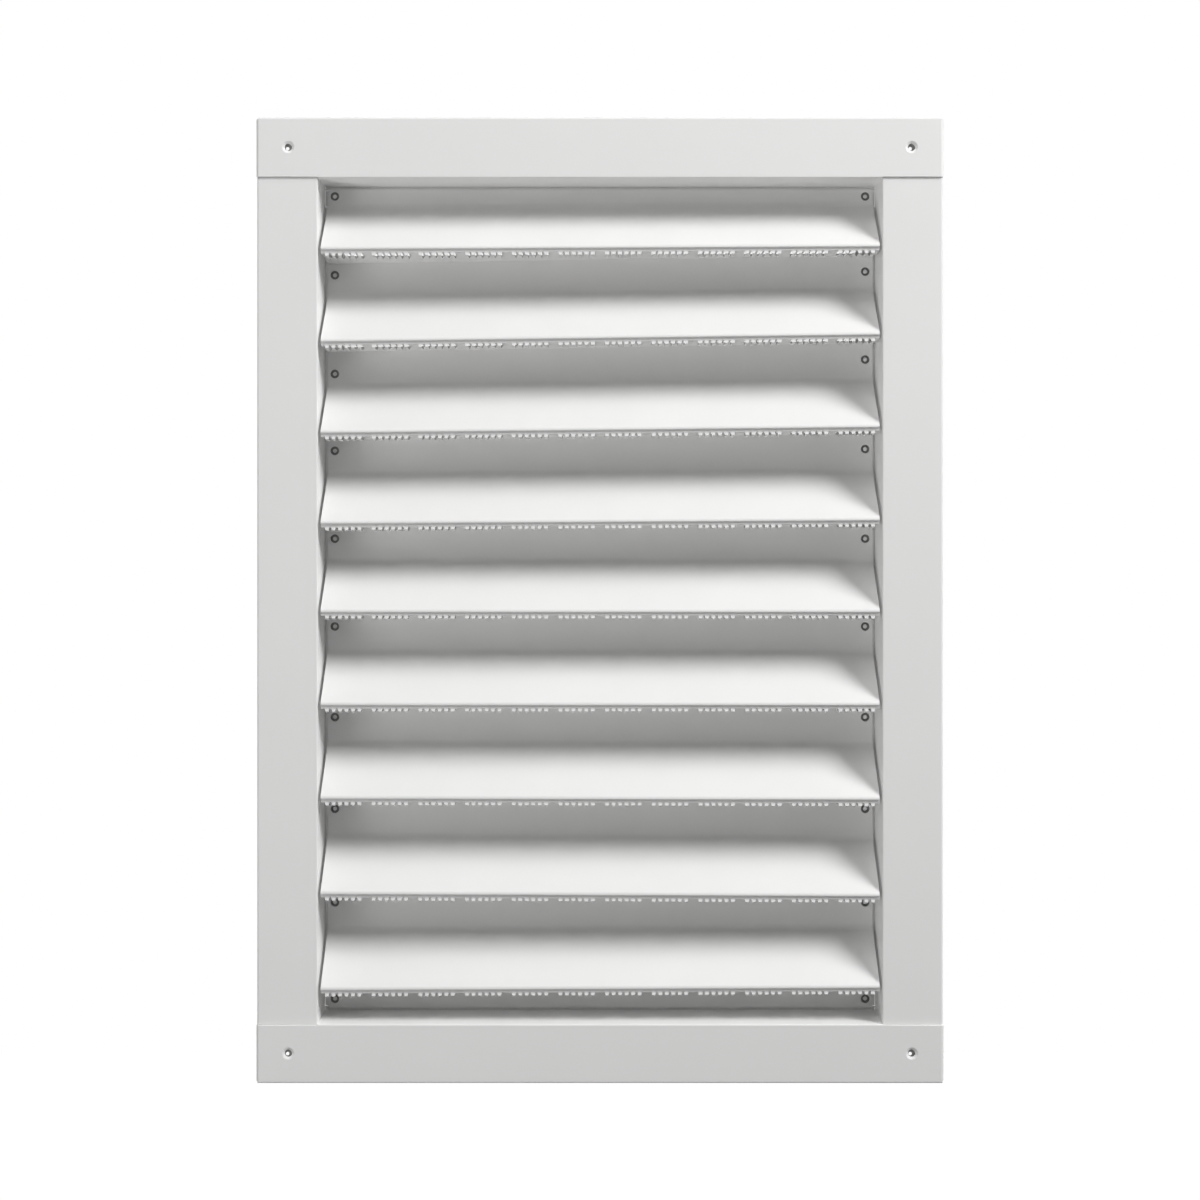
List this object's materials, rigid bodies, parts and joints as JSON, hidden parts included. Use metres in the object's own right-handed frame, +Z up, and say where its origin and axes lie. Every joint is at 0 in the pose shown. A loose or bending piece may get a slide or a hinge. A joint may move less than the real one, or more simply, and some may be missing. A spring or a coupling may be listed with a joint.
{
  "type": "wall louver",
  "caption": "White sheet-aluminium wall louver: a flanged rectangular frame round one folded sheet of sloping louvers with lanced, insect-proof vent strips.",
  "frame": {"origin": "middle of the corner screw pattern, on the back of the side flanges", "axes": "+X to the right seen from the front, +Y into the wall, +Z up; the front faces -Y"},
  "size_m": [0.3682, 0.0277, 0.5206],
  "materials": {
    "white_enamel": "satin white baked enamel on aluminium sheet"
  },
  "bodies": {
    "root": {"top_rail": "white_enamel", "bottom_rail": "white_enamel", "left_jamb": "white_enamel", "right_jamb": "white_enamel", "louver_panel": "white_enamel"}
  },
  "joints": []
}
